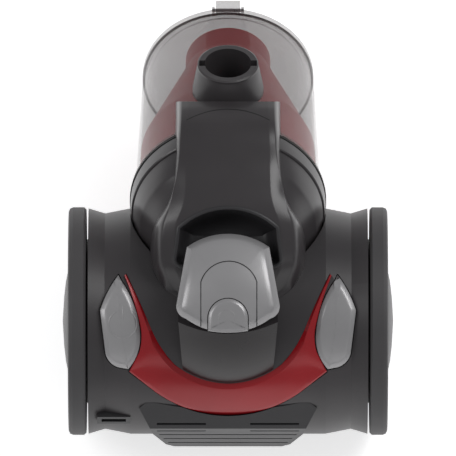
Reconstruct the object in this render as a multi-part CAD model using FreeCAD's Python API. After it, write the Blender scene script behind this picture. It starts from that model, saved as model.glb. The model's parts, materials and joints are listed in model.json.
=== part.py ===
import FreeCAD, Part
import math
import os
from FreeCAD import Placement, Rotation, Vector

# Bagless cylinder vacuum cleaner: a drum-shaped motor body between two large wheels, a front
# castor, and a lift-off dust unit whose clear bin slopes down to the front.
# Millimetres. While modelling, X is to the right, Y forward from the wheel axle and Z up from
# the floor. At the end everything moves so that the origin is the middle of the footprint.

# ---- wheels and drum ------------------------------------------------------------------
WHEEL_R = 103.0            # tyre radius
TYRE_DEPTH = 6.0           # radial thickness of the tyre
WHEEL_WIDTH = 16.0
DRUM_R = 102.0             # housing radius, about the wheel axle
DRUM_HALF = 126.0          # housing half width
GROOVE_X = 111.0           # middle of the shallow groove round each end of the drum
GROOVE_DEPTH = 4.5
GROOVE_INNER_X = 88.0      # the groove runs out here
WALL = 3.0                 # moulded wall
FLOOR_GAP = 12.0           # height of the flat underside
SPLIT_Z = 48.0             # joint between the chassis and the housing
WHEEL_GAP = 2.0            # wheel rim to drum
BOSS_R = 74.0              # raised disc that the wheel runs against
RUN_GAP = 0.4              # between pieces that turn past each other
AXLE_R = 5.0
AXLE_FIT = 0.05            # radial clearance of a running fit
AXLE_BOSS_R = 9.0
AXLE_BOSS_DEPTH = 32.0     # how far the axle boss reaches into the drum
AXLE_GRIP = 24.0           # length of axle held in its boss
HUB_CAP_R = 46.0
HUB_CAP_RISE = 5.5
CLIP_R = 9.0
CLIP_T = 1.5

# ---- dust unit: position ---------------------------------------------------------------
BIN_TILT = 31.0            # the bin's axis below horizontal
COLLAR_Y = 90.0            # middle of the bin's mouth, where it meets the head
COLLAR_Z = 176.5
BIN_LENGTH = 173.0
BIN_R = 84.0               # at the mouth
BIN_TAPER = 6.0            # how much narrower it is at the lid
BIN_WALL = 2.5
FLANGE_LIP = 4.0           # how far the flange and the head stand out from the bin
FLANGE_T = 4.0
GASKET_T = 3.0
HEAD_DEPTH = 96.0          # the head's dome behind the gasket
HEAD_WALL = 3.0
REBATE = 1.0               # rebate inside the head's rim, for the filter frame
REBATE_DEPTH = 6.0
FILTER_T = 24.0            # foam filter in the head
FILTER_W = -31.0           # its back face, along the bin's axis from the mouth
FILTER_RIM = 17.0          # width of the frame round it
SEAT_GAP = 1.0             # dust unit to housing

# ---- handle and duct ---------------------------------------------------------------------
SPINE_HALF = 47.0          # half width of the duct cover and the handle
SPINE_TOP = [(53.0, 260.0), (90.0, 263.5), (132.0, 259.0), (160.0, 243.0)]
COVER_DROP = 24.0          # height of the duct cover's sides
COVER_GAP = 1.0            # duct cover to bin
GRIP_FRONT = (27.0, 258.0)
GRIP_CROWN = (-15.0, 262.0)
GRIP_REAR = (-63.0, 249.0)
GRIP_T = 5.0               # thickness of the grey grip cover
GRIP_FRONT_HALF = 37.0
GRIP_REAR_HALF = 46.0
GRIP_CORE = 11.0           # moulded core under the cover
LEG_THICK = 27.0           # rear leg of the handle, front to back
POCKET_FLOOR = 214.0       # bottom of the hand recess
POCKET_HALF = 40.0
FAIRING_TOP = 99.0         # height of the fairings over the axle, square to the deck
BUTTON_HALF = 18.0
BUTTON_LENGTH = 30.0
BUTTON_TRAVEL = 3.0
ROD_HALF = 4.0
ROD_REACH = 6.0            # how far the release rod enters the drum

# ---- hose port -----------------------------------------------------------------------------
PORT_W = 62.0              # distance from the bin's mouth, along the bin
PORT_RISE = 24.0           # height of the mouth over the bin's wall
PORT_R = 21.0              # bore for the hose's end piece
PORT_WALL = 3.0
PORT_RIM = 6.5             # width of the rim round the bore
PORT_SKIRT = 11.0          # width of the skirt round the bore
PORT_DEPTH = 46.0
PORT_FIT = 0.5             # port's sleeve to the bin and the cyclone
NECK_T = 2.0               # neck round the port's hole, on the bin and in the cyclone
NECK_RISE = 8.0            # height of the bin's neck over its wall
NECK_DROP = 46.0           # foot of the cyclone's neck under the port's mouth
NOTCH_HALF = 4.0
NOTCH_REACH = 5.0          # how far the notches reach out from the bore
NOTCH_DEPTH = 12.0

# ---- cyclone -------------------------------------------------------------------------------
CYCLONE_END_GAP = 7.0      # far end of the cyclone to the end of the bin
CYCLONE_NECK = 22.0        # straight part at its far end
CYCLONE_TOP_GAP = 9.0      # far end of the cyclone to the bin, at the top
CYCLONE_WALL = 2.0
CYCLONE_GAP = 0.5
VORTEX_R = 29.0            # clean air tube inside the cyclone, at its root
VORTEX_TIP_R = 24.0
VORTEX_LENGTH = 60.0
VORTEX_T = 2.0

# ---- lid -----------------------------------------------------------------------------------
LID_T = 8.0
LID_GAP = 0.4
LID_SEAL_T = 1.2
LID_RIM = 8.0              # width of the lid's raised rim
HINGE_DROP = 2.0           # hinge axis behind the end of the bin
HINGE_RISE = 5.0           # hinge axis outside the bin
KNUCKLE_R = 3.8
KNUCKLE_HALF = 11.0
PIN_R = 1.5
EAR_GAP = 1.0
EAR_T = 2.5
LATCH_HALF = 9.0

# ---- deck ----------------------------------------------------------------------------------
DECK_TILT = 20.0           # the deck's controls face up and back by this much
PEDAL_GAP = 0.8
PEDAL_PROUD = 3.0
PEDAL_T = 9.0
PEDAL_TRAVEL = 4.0
TRIM_PROUD = 1.5
TRIM_SUNK = 1.5
TRIM_GAP = 0.3
GRILLE_R = 113.5
CORD_X = -103.0            # cord outlet
CORD_DROP = 10.0           # its angle below the axle
CORD_WIDTH = 22.0
CORD_HEIGHT = 5.0
CORD_RIM = 4.0             # bezel round the outlet

# ---- castor and nose -------------------------------------------------------------------------
CASTOR_BACK = 32.0         # castor's stem behind the end of the nose
CASTOR_R = 16.0
CASTOR_WIDTH = 14.0
CASTOR_TRAIL = 9.0
CASTOR_STEM_R = 4.0
NOSE_SHORT = 1.0           # the nose reaches this much less far ahead than the bin is long
NOSE_HALF = 44.0
NOSE_BOTTOM = 24.0
FORK_T = 2.5

# ---- motor and reel --------------------------------------------------------------------------
MOTOR_Y = -32.0
MOTOR_Z = 88.0
MOTOR_R = 42.0
MOTOR_HALF = 50.0
MOTOR_WALL = 2.5
MOUNT_T = 4.0
SHAFT_R = 4.0
ARMATURE_R = 20.0
IMPELLER_GAP = 3.5         # impeller to motor can
REEL_R = 66.0
REEL_WIDTH = 22.0
BOARD_X = 95.0             # the circuit board stands on posts from the right end wall
BOARD_T = 1.6
DUCT_R = 21.0              # duct from the head to the motor, round its seal
DUCT_SEAL_T = 3.0
EXHAUST_SHARE = 0.56       # exhaust filter's share of the room behind the motor
EXHAUST_HALF = 58.0
BLADES = 8
COOLING_HOLES = 6

# ---- pedals' works, on the deck's frame: distance forward and height over the axle -------------
STEM_X = 99.0
STEM_R = 3.0
STEM_FOOT = 84.0           # height of the foot of a pedal's stem
GUIDE_Z = 84.5             # plate that guides the stem
GUIDE_T = 2.5
LEVER_ARM = 14.0           # brake lever, from its shaft to the pedal's stem
LEVER_R = 3.0
TOUCH_GAP = 0.5            # stem's foot to what it presses on
SWITCH_HALF = 9.0
SWITCH_T = 9.0
SCREW_PLACES = [(-102.0, -64.0), (102.0, -64.0), (-102.0, 64.0), (102.0, 64.0)]
SCREW_R = 2.0
SCREW_HEAD_R = 4.0
SCREW_POST_R = 6.0

# ---- sizes that follow from those above ------------------------------------------------------------
AXLE_Z = WHEEL_R
BIN_LID_R = BIN_R - BIN_TAPER
FLANGE_R = BIN_R + FLANGE_LIP
LID_RIM_R = BIN_LID_R - LID_RIM
PORT_MOUTH = BIN_R + PORT_RISE         # height of the port's mouth over the bin's axis
PORT_RIM_R = PORT_R + PORT_RIM
PORT_SKIRT_R = PORT_R + PORT_SKIRT
NOTCH_R = PORT_R + NOTCH_REACH
NECK_R = PORT_R + PORT_WALL + PORT_FIT
SKIRT_W = PORT_W + PORT_WALL           # length of the cyclone's wide skirt
CYCLONE_W = BIN_LENGTH - CYCLONE_END_GAP
CYCLONE_RISE = BIN_R / 3               # offset of its far end above the bin's axis
CYCLONE_R = BIN_LID_R - BIN_WALL - CYCLONE_RISE - CYCLONE_TOP_GAP
NOSE_Y = BIN_LENGTH - NOSE_SHORT
CASTOR_Y = NOSE_Y - CASTOR_BACK
CONE_W = CYCLONE_W - CYCLONE_NECK
SWITCH_TOP = STEM_FOOT - PEDAL_TRAVEL - TOUCH_GAP
LEVER_Z = STEM_FOOT - 4.0
LEVER_END = DRUM_HALF - 14.0           # the brake's end of the lever's shaft
IMPELLER_R = MOTOR_R - MOTOR_WALL - IMPELLER_GAP
MOTOR_REACH = math.hypot(MOTOR_Y, AXLE_Z - MOTOR_Z) + MOTOR_R + MOUNT_T
EXHAUST_T = EXHAUST_SHARE * (DRUM_R - WALL - MOTOR_REACH)
FILTER_R = FLANGE_R - HEAD_WALL - FILTER_RIM
FRAME_R = FLANGE_R - HEAD_WALL + REBATE
BOARD_POSTS = [(-33.0, SPLIT_Z + 8), (7.0, SPLIT_Z + 8), (-33.0, AXLE_Z - 18)]
BUTTON_FLOOR = GRIP_REAR[1] - GRIP_T - 11.0
ORIGIN = Vector(0, 0, 0)
X_AXIS = Vector(1, 0, 0)
Z_AXIS = Vector(0, 0, 1)
BIG = 600.0

PARTS = {}


# ---- frames and basic solids -------------------------------------------------------------------
def bin_frame():
    """Placement whose Z runs down the bin from its mouth and whose -Y is up."""
    return Placement(Vector(0, COLLAR_Y, COLLAR_Z), Rotation(X_AXIS, -(90.0 + BIN_TILT)))


def deck_frame():
    """Placement at the axle whose Z is square to the deck's controls."""
    return Placement(Vector(0, 0, AXLE_Z), Rotation(X_AXIS, DECK_TILT))


def placed(shape, placement):
    moved = shape.copy()
    moved.Placement = placement.multiply(moved.Placement)
    return moved


def in_bin(shape):
    return placed(shape, bin_frame())


def cyl_x(radius, x0, x1, y, z):
    return Part.makeCylinder(radius, x1 - x0, Vector(x0, y, z), X_AXIS)


def ring_x(outer, inner, x0, x1, y, z):
    return cyl_x(outer, x0, x1, y, z).cut(cyl_x(inner, x0 - 1, x1 + 1, y, z))


def cyl_z(radius, x, y, z0, z1):
    return Part.makeCylinder(radius, z1 - z0, Vector(x, y, z0), Z_AXIS)


def block(x0, x1, y0, y1, z0, z1):
    return Part.makeBox(x1 - x0, y1 - y0, z1 - z0, Vector(x0, y0, z0))


def polygon(points):
    return Part.Face(Part.makePolygon(list(points) + [points[0]]))


def side_prism(profile, half):
    """Side profile of (y, z) points, extruded to both sides."""
    face = polygon([Vector(-half, y, z) for y, z in profile])
    return face.extrude(Vector(2 * half, 0, 0))


def turned_x(profile):
    """Profile of (x, r) points turned about the wheel axle."""
    face = polygon([Vector(x, 0, AXLE_Z + r) for x, r in profile])
    return face.revolve(Vector(0, 0, AXLE_Z), X_AXIS, 360)


def turned_z(profile):
    """Profile of (r, z) points turned about the local Z axis."""
    face = polygon([Vector(r, 0, z) for r, z in profile])
    return face.revolve(ORIGIN, Z_AXIS, 360)


def outline(start, steps):
    """Closed wire in the local XY plane; a step is an end point, or a mid and an end point."""
    edges = []
    here = Vector(start[0], start[1], 0)
    for step in steps + [(start,)]:
        points = [Vector(x, y, 0) for x, y in step]
        if points[-1].distanceToPoint(here) < 0.01:
            continue
        if len(points) == 1:
            edges.append(Part.LineSegment(here, points[0]).toShape())
        else:
            edges.append(Part.Arc(here, points[0], points[1]).toShape())
        here = points[-1]
    return Part.Wire(edges)


def deck_prism(wire, low, high):
    """Outline on the deck, extruded square to it between two heights over the axle."""
    face = Part.Face(wire)
    face.translate(Vector(0, 0, low))
    return placed(face.extrude(Vector(0, 0, high - low)), deck_frame())


def add(name, body, shape):
    solid = shape.removeSplitter() if shape.ShapeType != "Compound" else shape
    PARTS[name] = (body, solid)


# ---- envelopes that several pieces are cut to -----------------------------------------------------
def drum(inset):
    """The drum as a solid, inset by a wall, with its shallow grooves and flat underside."""
    end = DRUM_HALF - inset
    full = DRUM_R - inset
    groove = full - GROOVE_DEPTH
    profile = [(-end, 0), (-end, full), (-GROOVE_X, groove), (-GROOVE_INNER_X, full),
               (GROOVE_INNER_X, full), (GROOVE_X, groove), (end, full), (end, 0)]
    low = FLOOR_GAP + inset
    return turned_x(profile).common(block(-BIG, BIG, -BIG, BIG, low, BIG))


def bin_radius(w):
    return BIN_R + (BIN_LID_R - BIN_R) * w / BIN_LENGTH


def dome(offset):
    """The head's dome as a solid, behind the bin's mouth."""
    depth = HEAD_DEPTH + offset
    radius = FLANGE_R + offset
    ellipse = Part.Ellipse(Vector(0, 0, -GASKET_T - depth), Vector(radius, 0, -GASKET_T),
                           Vector(0, 0, -GASKET_T))
    arc = Part.ArcOfEllipse(ellipse, 0, math.pi / 2).toShape()
    ends = [arc.Vertexes[0].Point, arc.Vertexes[-1].Point]
    centre = Vector(0, 0, -GASKET_T)
    wire = Part.Wire([arc, Part.makeLine(ends[1], centre), Part.makeLine(centre, ends[0])])
    return in_bin(Part.Face(wire).revolve(ORIGIN, Z_AXIS, 360))


def barrel(offset, reach):
    """The bin and its flange as a solid, grown by an offset."""
    profile = [(0, -GASKET_T), (FLANGE_R + offset, -GASKET_T), (FLANGE_R + offset, FLANGE_T + offset),
               (bin_radius(FLANGE_T) + offset, FLANGE_T + offset), (bin_radius(reach) + offset, reach),
               (0, reach)]
    return in_bin(turned_z(profile))


def seat(gap):
    """Space that the dust unit needs in the drum, open along the way that it lifts off."""
    reach = BIN_LENGTH + LID_T
    depth = HEAD_DEPTH + gap
    radius = FLANGE_R + gap
    ellipse = Part.Ellipse(Vector(0, 0, -GASKET_T - depth), Vector(radius, 0, -GASKET_T),
                           Vector(0, 0, -GASKET_T))
    side = Part.ArcOfEllipse(ellipse, 0, math.pi / 2).toShape()
    tip = Vector(0, 0, -GASKET_T - depth)
    corner = Vector(radius, 0, -GASKET_T)
    front = Vector(radius, 0, reach)
    middle = Vector(0, 0, reach)
    half = [side, Part.makeLine(corner, front), Part.makeLine(front, middle), Part.makeLine(middle, tip)]
    face = Part.Face(Part.Wire(Part.__sortEdges__(half)))
    round_part = face.revolve(ORIGIN, Z_AXIS, 360)
    right = face.extrude(Vector(0, -BIG, 0))
    return in_bin(round_part.fuse([right, right.mirror(ORIGIN, X_AXIS)]))


def spine_block():
    """Outside of the duct cover and handle together, as one solid."""
    top = [(GRIP_REAR[0], GRIP_REAR[1] - GRIP_T), (GRIP_CROWN[0], GRIP_CROWN[1] - GRIP_T),
           (GRIP_FRONT[0], GRIP_FRONT[1] - GRIP_T)] + SPINE_TOP
    front_y, front_z = SPINE_TOP[-1]
    profile = top + [(front_y - 4, front_z - COVER_DROP), (SPINE_TOP[0][0], AXLE_Z + 60),
                     (GRIP_REAR[0], AXLE_Z + 60)]
    return side_prism(profile, SPINE_HALF)


# ---- deck outlines, on the plane through the axle: (x, distance forward) ---------------------------
PEDAL_OUTLINE = ((98.5, 42.0), [((107.5, 28.0), (115.0, 10.0)), ((110.2, -28.4),),
                                ((106.0, -36.5), (96.3, -41.5)), ((89.6, -42.8),),
                                ((81.0, -28.0), (79.0, -10.0)), ((82.5, 9.5), (96.0, 37.0))])
TRIM_OUTLINE = ((91.5, 43.0), [((80.3, 19.4), (68.6, -7.7)), ((59.5, -24.5), (47.9, -38.6)),
                               ((0.0, -55.8), (-47.9, -38.6)), ((-59.5, -24.5), (-68.6, -7.7)),
                               ((-80.3, 19.4), (-91.5, 43.0)), ((-96.0, 36.0),), ((-97.0, -20.0),),
                               ((-89.0, -45.5),), ((-64.4, -64.0),), ((0.0, -84.7), (64.4, -64.0)),
                               ((89.0, -45.5),), ((97.0, -20.0),), ((96.0, 36.0),)])
GRILLE_OUTLINE = ((72.0, -71.5), [((80.0, -78.0),), ((67.5, -102.0),), ((56.0, -111.5),),
                                  ((0.0, -119.0), (-56.0, -111.5)), ((-67.5, -102.0),),
                                  ((-80.0, -78.0),), ((-72.0, -71.5),), ((0.0, -80.0), (72.0, -71.5))])
FAIRING_OUTLINE = ((30.0, 106.0), [((55.0, 102.0),), ((71.5, 72.0), (67.0, 44.0)),
                                   ((59.0, 30.0), (44.0, 21.0)), ((-44.0, 21.0),),
                                   ((-59.0, 30.0), (-67.0, 44.0)), ((-71.5, 72.0), (-55.0, 102.0)),
                                   ((-30.0, 106.0),)])
GRIP_OUTLINE = ((GRIP_FRONT_HALF, 67.0), [((GRIP_REAR_HALF, 17.0),), ((45.0, 8.5), (38.0, 3.0)),
                                          ((0.0, -9.5), (-38.0, 3.0)),
                                          ((-45.0, 8.5), (-GRIP_REAR_HALF, 17.0)),
                                          ((-GRIP_FRONT_HALF, 67.0),),
                                          ((0.0, 79.0), (GRIP_FRONT_HALF, 67.0))])


# ---- sub-parts --------------------------------------------------------------------------------------
def pedal_wire(side):
    wire = outline(*PEDAL_OUTLINE)
    return wire if side > 0 else wire.mirror(ORIGIN, X_AXIS)


def pedal_pocket(side):
    wire = pedal_wire(side).makeOffset2D(PEDAL_GAP)
    return deck_prism(wire, 60, 130)


def make_pedals():
    stem_top = DRUM_R + PEDAL_PROUD - PEDAL_T + 1.0
    for side, name in ((-1, "power_pedal"), (1, "rewind_pedal")):
        skin = ring_x(DRUM_R + PEDAL_PROUD, DRUM_R + PEDAL_PROUD - PEDAL_T, -BIG, BIG, 0, AXLE_Z)
        cap = deck_prism(pedal_wire(side), 60, 130).common(skin)
        foot = Vector(side * STEM_X, 0, STEM_FOOT)
        stem = Part.makeCylinder(STEM_R, stem_top - STEM_FOOT, foot, Z_AXIS)
        add(name, name, cap.fuse(placed(stem, deck_frame())))
        seat_z = GUIDE_Z + GUIDE_T
        base = Vector(side * STEM_X, 0, seat_z)
        coil = Part.makeCylinder(STEM_R + 2.5, stem_top - 1.5 - seat_z, base, Z_AXIS)
        coil = coil.cut(Part.makeCylinder(STEM_R + 0.6, 20.0, foot, Z_AXIS))
        add(name + "_spring", "root", placed(coil, deck_frame()))


def make_housing():
    shell = drum(0).cut(seat(SEAT_GAP))
    hollow = drum(WALL).cut(seat(SEAT_GAP + WALL))
    shell = shell.cut(hollow)
    for side in (-1, 1):
        x_in = DRUM_HALF - AXLE_BOSS_DEPTH
        x_out = DRUM_HALF + WHEEL_GAP - RUN_GAP
        lo, hi = sorted((side * x_in, side * DRUM_HALF))
        shell = shell.fuse(cyl_x(AXLE_BOSS_R, lo, hi, 0, AXLE_Z))
        lo, hi = sorted((side * (DRUM_HALF - 1), side * x_out))
        shell = shell.fuse(ring_x(BOSS_R, BOSS_R - 8, lo, hi, 0, AXLE_Z))
        shell = shell.fuse(cyl_x(AXLE_BOSS_R, lo, hi, 0, AXLE_Z))
        lo, hi = sorted((side * (DRUM_HALF - AXLE_GRIP), side * (x_out + 1)))
        shell = shell.cut(cyl_x(AXLE_R, lo, hi, 0, AXLE_Z))
        shell = shell.cut(pedal_pocket(side))
    trim_bed = ring_x(DRUM_R + 20, DRUM_R - TRIM_SUNK, -BIG, BIG, 0, AXLE_Z)
    bed = deck_prism(outline(*TRIM_OUTLINE).makeOffset2D(TRIM_GAP), 20, 130)
    shell = shell.cut(bed.common(trim_bed))
    window = deck_prism(outline(*GRILLE_OUTLINE).makeOffset2D(-9.0), -80, 110)
    rear = block(-BIG, BIG, -BIG, -60, 52, AXLE_Z + 38)
    shell = shell.cut(window.common(rear))
    shell = shell.cut(cord_mouth(1.0))
    shell = shell.cut(inlet_tube(DUCT_R))
    shell = shell.cut(rod_slot())
    upper = shell.common(block(-BIG, BIG, -BIG, BIG, SPLIT_Z, BIG))
    for side in (-1, 1):
        upper = upper.fuse(pedal_guide(side)).fuse(lever_bracket(side))
    shelf_x = SWITCH_HALF - STEM_X
    shelf_z = SWITCH_TOP - SWITCH_T
    upper = upper.fuse(deck_box((-DRUM_HALF + 1, shelf_x), (-7.0, 7.0), (shelf_z - 2.5, shelf_z)))
    for y, z in BOARD_POSTS:
        upper = upper.fuse(cyl_x(3.0, BOARD_X, DRUM_HALF - 1, y, z))
    add("upper_housing", "root", upper.cut(lever_shaft(AXLE_FIT)).cut(screw_tools()))
    lower = shell.common(block(-BIG, BIG, -BIG, BIG, 0, SPLIT_Z))
    lower = lower.fuse(nose()).fuse(motor_saddles())
    lower = lower.cut(castor_well())
    add("lower_chassis", "root", lower.cut(screw_tools()))


def deck_box(xs, us, zs):
    """Box on the deck's frame, from its limits along each axis."""
    corner = Vector(xs[0], us[0], zs[0])
    return placed(Part.makeBox(xs[1] - xs[0], us[1] - us[0], zs[1] - zs[0], corner), deck_frame())


def pedal_guide(side):
    """Plate from the end wall that a pedal's stem slides through."""
    x0, x1 = sorted((side * (STEM_X - 13), side * (DRUM_HALF - 1)))
    plate = deck_box((x0, x1), (-10.0, 10.0), (GUIDE_Z, GUIDE_Z + GUIDE_T))
    hole = Part.makeCylinder(STEM_R + 0.4, 20.0, Vector(side * STEM_X, 0, STEM_FOOT - 5), Z_AXIS)
    return plate.cut(placed(hole, deck_frame()))


def lever_bracket(side):
    """Bearing block that hangs the brake lever's shaft under the deck."""
    x0, x1 = sorted((side * (STEM_X - 29), side * (STEM_X - 23)))
    hang = deck_box((x0, x1), (LEVER_ARM - 6, LEVER_ARM + 6), (LEVER_Z - 5, DRUM_R))
    return hang.common(drum(WALL - 0.5))


def lever_shaft(grow):
    start = Vector(-LEVER_END, LEVER_ARM, LEVER_Z)
    return placed(Part.makeCylinder(LEVER_R + grow, 2 * LEVER_END - 8, start, X_AXIS), deck_frame())


def make_brake():
    """Rocking lever from the rewind pedal's stem to a shoe on the reel's rim."""
    lever = lever_shaft(0.0)
    nub = Part.makeCylinder(1.5, 6.0, Vector(STEM_X - 3, -0.5, LEVER_Z + 2.0), X_AXIS)
    arm = deck_box((STEM_X - 3, STEM_X + 3), (-2.0, LEVER_ARM), (LEVER_Z - 1.5, LEVER_Z + 1.0))
    post = deck_box((STEM_X - 3, STEM_X + 3), (-2.0, 1.0), (LEVER_Z, LEVER_Z + 2.0))
    end = (-LEVER_END, 8 - LEVER_END)
    over = (2 * LEVER_ARM - 4, 2 * LEVER_ARM + 4)
    reach = deck_box(end, (LEVER_ARM, over[1]), (LEVER_Z - 1.5, LEVER_Z + 1.5))
    shoe_floor = math.sqrt(REEL_R ** 2 - over[0] ** 2) + RUN_GAP
    drop = deck_box(end, over, (shoe_floor + 3, LEVER_Z))
    lever = lever.fuse([placed(nub, deck_frame()), arm, post, reach, drop])
    add("brake_lever", "brake_lever", lever)
    pad = deck_box(end, over, (shoe_floor - 8, shoe_floor + 3))
    add("brake_shoe", "brake_lever", pad.cut(cyl_x(REEL_R + RUN_GAP, -BIG, BIG, 0, AXLE_Z)))


def make_inlet_seal():
    """Rubber ring in the housing, where the head's outlet meets the motor's duct."""
    ring = inlet_tube(DUCT_R).cut(inlet_tube(DUCT_R - DUCT_SEAL_T))
    band = seat(SEAT_GAP + WALL).cut(seat(RUN_GAP))
    add("inlet_seal", "root", biggest(ring.common(band)))


def rod_slot():
    """Slot in the drum's top that the release rod enters."""
    y0 = GRIP_REAR[0] + 9.0
    return block(-ROD_HALF - 1, ROD_HALF + 1, y0 - 1, y0 + 13, AXLE_Z + 60, AXLE_Z + DRUM_R)


def cord_box(half, rise, back, front):
    """Box about the middle of the cord outlet."""
    frame = Placement(Vector(CORD_X, 0, AXLE_Z), Rotation(X_AXIS, -CORD_DROP))
    return placed(Part.makeBox(2 * half, front - back, 2 * rise, Vector(-half, back, -rise)), frame)


def cord_mouth(grow):
    """Tool for the cord outlet's opening, grown by a margin."""
    half, rise = CORD_WIDTH / 2 + grow, CORD_HEIGHT / 2 + grow
    return cord_box(half, rise, -DRUM_R - 13, -DRUM_R + 17)


def inlet_tube(radius):
    """Round duct from the head's underside to the motor."""
    start = Vector(0, 34, 178)
    aim = Vector(0, MOTOR_Y, MOTOR_Z) - start
    return Part.makeCylinder(radius, 62, start, aim)


def nose():
    """Tongue under the bin that carries the castor."""
    half = NOSE_HALF
    plan = [Vector(-half - 18, 60, NOSE_BOTTOM), Vector(half + 18, 60, NOSE_BOTTOM),
            Vector(half, NOSE_Y - 30, NOSE_BOTTOM), Vector(half - 16, NOSE_Y, NOSE_BOTTOM),
            Vector(16 - half, NOSE_Y, NOSE_BOTTOM), Vector(-half, NOSE_Y - 30, NOSE_BOTTOM)]
    solid = polygon(plan).extrude(Vector(0, 0, SPLIT_Z - NOSE_BOTTOM))
    solid = solid.cut(barrel(SEAT_GAP + 1.5, BIN_LENGTH + 20))
    return solid.cut(drum(1.0))


def castor_well():
    reach = CASTOR_TRAIL + CASTOR_R + 3.0
    top = 2 * CASTOR_R + 5.0
    well = cyl_z(reach, 0, CASTOR_Y, 0, top)
    return well.fuse(cyl_z(CASTOR_STEM_R + AXLE_FIT, 0, CASTOR_Y, 0, BIG))


def motor_saddles():
    """Two ribs under the motor's rubber rings."""
    ribs = None
    for x in (-MOTOR_HALF + 4, MOTOR_HALF - 10):
        rib = block(x, x + 6, MOTOR_Y - 30, MOTOR_Y + 30, FLOOR_GAP + WALL - 0.5, SPLIT_Z)
        rib = rib.cut(cyl_x(MOTOR_R + MOUNT_T, x - 1, x + 7, MOTOR_Y, MOTOR_Z))
        ribs = rib if ribs is None else ribs.fuse(rib)
    return ribs.common(drum(WALL - 0.5))


def screw(x, y, grow):
    base = FLOOR_GAP + 20.0
    shank = cyl_z(SCREW_R + grow, x, y, base, SPLIT_Z + 10)
    head = cyl_z(SCREW_HEAD_R + grow, x, y, base - 2.5 - (20 if grow else 0), base)
    return shank.fuse(head)


def screw_tools():
    tools = [screw(x, y, 0.2) for x, y in SCREW_PLACES]
    return tools[0].fuse(tools[1:])


def make_screw_bosses():
    """Posts round the housing screws, part of the chassis and of the housing."""
    body, lower = PARTS["lower_chassis"]
    _, upper = PARTS["upper_housing"]
    inside = drum(WALL - 0.5).cut(seat(SEAT_GAP + WALL - 0.5))
    for x, y in SCREW_PLACES:
        low_post = cyl_z(SCREW_POST_R, x, y, FLOOR_GAP, SPLIT_Z).common(inside)
        high_post = cyl_z(SCREW_POST_R, x, y, SPLIT_Z, SPLIT_Z + 14)
        web = block(min(x, math.copysign(DRUM_HALF - 1, x)), max(x, math.copysign(DRUM_HALF - 1, x)),
                    y - 1.5, y + 1.5, SPLIT_Z, SPLIT_Z + 14)
        lower = lower.fuse(low_post)
        upper = upper.fuse(high_post).fuse(web)
    add("lower_chassis", body, lower.cut(screw_tools()))
    add("upper_housing", body, upper.cut(screw_tools()))
    screws = [screw(x, y, 0.0) for x, y in SCREW_PLACES]
    add("housing_screws", "root", Part.makeCompound(screws))


def make_deck():
    prism = deck_prism(outline(*TRIM_OUTLINE), 20, 130)
    skin = ring_x(DRUM_R + TRIM_PROUD, DRUM_R - TRIM_SUNK, -BIG, BIG, 0, AXLE_Z)
    trim = prism.common(skin).common(block(-BIG, BIG, -BIG, BIG, AXLE_Z, BIG))
    add("deck_trim", "root", trim.cut(pedal_pocket(-1)).cut(pedal_pocket(1)))


def rear_point(angle, radius):
    """Point on the drum's back, at an angle above the axle."""
    turn = math.radians(angle)
    return (-radius * math.cos(turn), AXLE_Z + radius * math.sin(turn))


def make_grille():
    profile = [rear_point(25, DRUM_R), rear_point(9, GRILLE_R - 3), rear_point(-22, GRILLE_R),
               rear_point(-33, DRUM_R), rear_point(-33, DRUM_R - 1), (-70, AXLE_Z),
               rear_point(25, DRUM_R - 1)]
    body = side_prism(profile, 85)
    body = body.common(deck_prism(outline(*GRILLE_OUTLINE), -90, 110))
    body = body.cut(cyl_x(DRUM_R + 0.2, -BIG, BIG, 0, AXLE_Z))
    body = body.cut(deck_prism(outline(*TRIM_OUTLINE).makeOffset2D(0.5), 0, 130))
    for angle, half in ((-1.5, 62.0), (-8.5, 58.0), (-15.5, 54.0)):
        body = body.cut(grille_slot(angle, -half, half))
    for angle in (5.0, 11.5):
        for lo, hi in ((-64.0, -20.0), (20.0, 64.0)):
            body = body.cut(grille_slot(angle, lo, hi))
    add("rear_grille", "root", body)
    pack = ring_x(DRUM_R - WALL, DRUM_R - WALL - EXHAUST_T, -EXHAUST_HALF, EXHAUST_HALF, 0, AXLE_Z)
    pack = pack.common(block(-BIG, BIG, -BIG, -60, 58, AXLE_Z + 32))
    add("exhaust_filter", "root", pack)


def grille_slot(angle, lo, hi):
    tool = block(lo, hi, -130, -80, -1.1, 1.1)
    return placed(tool, Placement(Vector(0, 0, AXLE_Z), Rotation(X_AXIS, -angle)))


def make_cord_bezel():
    half, rise = CORD_WIDTH / 2, CORD_HEIGHT / 2
    plate = cord_box(half + CORD_RIM, rise + CORD_RIM - 0.5, -DRUM_R - 1, -DRUM_R + 19).cut(drum(-0.2))
    neck = cord_box(half + 1, rise + 1, -DRUM_R - 1, -DRUM_R + 13)
    add("cord_bezel", "root", plate.fuse(neck).cut(cord_mouth(0)))


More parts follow.
